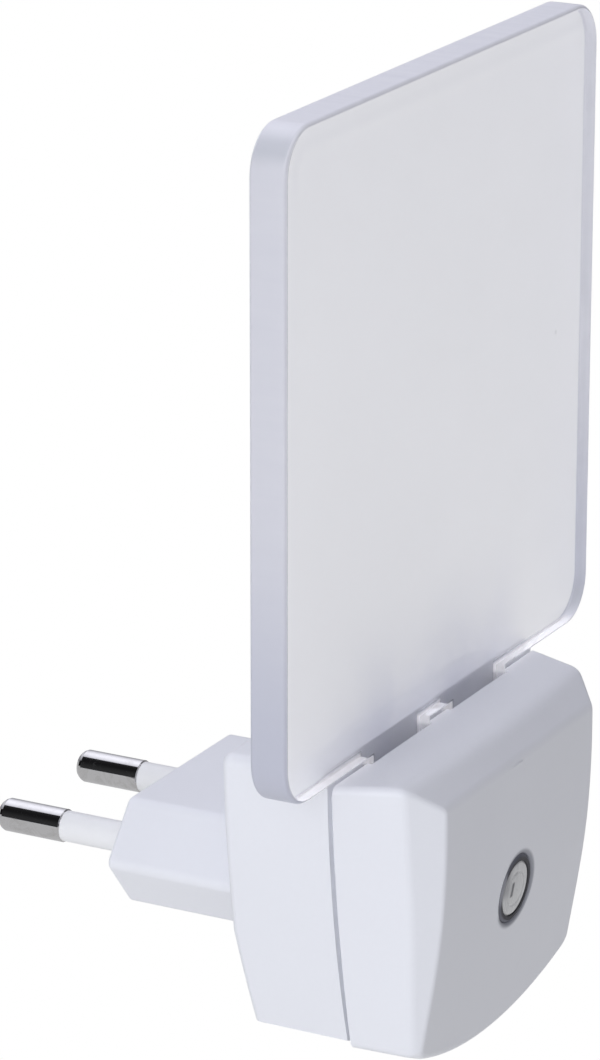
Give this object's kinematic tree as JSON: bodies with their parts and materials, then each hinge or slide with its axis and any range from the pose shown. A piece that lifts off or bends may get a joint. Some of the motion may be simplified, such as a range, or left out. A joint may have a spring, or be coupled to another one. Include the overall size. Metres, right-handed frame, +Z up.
{
  "type": "plug-in night light",
  "caption": "Two-pin plug-in night light: rounded white housing with a dusk sensor in front and a square, clear, round-cornered light panel standing in a slot in its top.",
  "frame": {"origin": "midway between the two pins, on the flat engagement face of the plug", "axes": "+Z up, along the light panel; +Y out of the engagement face along the pins, towards the socket; the front with the sensor faces -Y; +X completes the right-handed frame"},
  "size_m": [0.0774, 0.064, 0.1138],
  "materials": {
    "white_housing": "white injection-moulded plastic, fine satin texture",
    "pin_metal": "nickel-plated, polished",
    "pin_sleeve_plastic": "white insulating sleeve",
    "retainer_plastic": "natural moulded plastic",
    "lead_insulation_blue": "blue wire insulation",
    "lead_insulation_brown": "brown wire insulation",
    "lead_insulation_red": "red wire insulation",
    "clear_acrylic": "clear acrylic, polished edges, finely frosted faces",
    "board_white": "white solder resist",
    "led_white": "white moulded lamp package",
    "led_phosphor": "yellow phosphor gel",
    "board_green": "green solder resist",
    "black_rubber": "black light-tight sleeve",
    "clear_lens": "clear moulded lens",
    "sensor_ceramic": "light-dependent resistor with resin coat",
    "tinned_wire": "tinned wire",
    "screw_steel": "zinc-plated steel",
    "capacitor_red": "epoxy-dipped film capacitor",
    "capacitor_sleeve": "dark shrink sleeve",
    "black_epoxy": "black moulded epoxy",
    "resistor_green": "flameproof lacquer",
    "resistor_tan": "tan lacquer",
    "diode_glass": "small glass diode"
  },
  "bodies": {
    "root": {"rear_housing": "white_housing", "front_cover": "white_housing", "plug_body": "white_housing", "left_pin": "pin_metal", "right_pin": "pin_metal", "left_pin_sleeve": "pin_sleeve_plastic", "right_pin_sleeve": "pin_sleeve_plastic", "pin_retainer": "retainer_plastic", "left_lead": "lead_insulation_blue", "right_lead": "lead_insulation_brown", "light_panel": "clear_acrylic", "lamp_board": "board_white", "left_led": "led_white", "right_led": "led_white", "left_led_phosphor": "led_phosphor", "right_led_phosphor": "led_phosphor", "lamp_wires": "lead_insulation_red", "circuit_board": "board_green", "sensor_sleeve": "black_rubber", "sensor_lens": "clear_lens", "light_sensor": "sensor_ceramic", "light_sensor_leads": "tinned_wire", "housing_screws": "screw_steel", "board_screws": "screw_steel", "film_capacitor": "capacitor_red", "electrolytic_capacitor": "capacitor_sleeve", "bridge_rectifier": "black_epoxy", "fuse_resistor": "resistor_green", "bleed_resistor": "resistor_tan", "lamp_resistor": "resistor_tan", "transistor": "black_epoxy", "zener_diode": "diode_glass"}
  },
  "joints": []
}
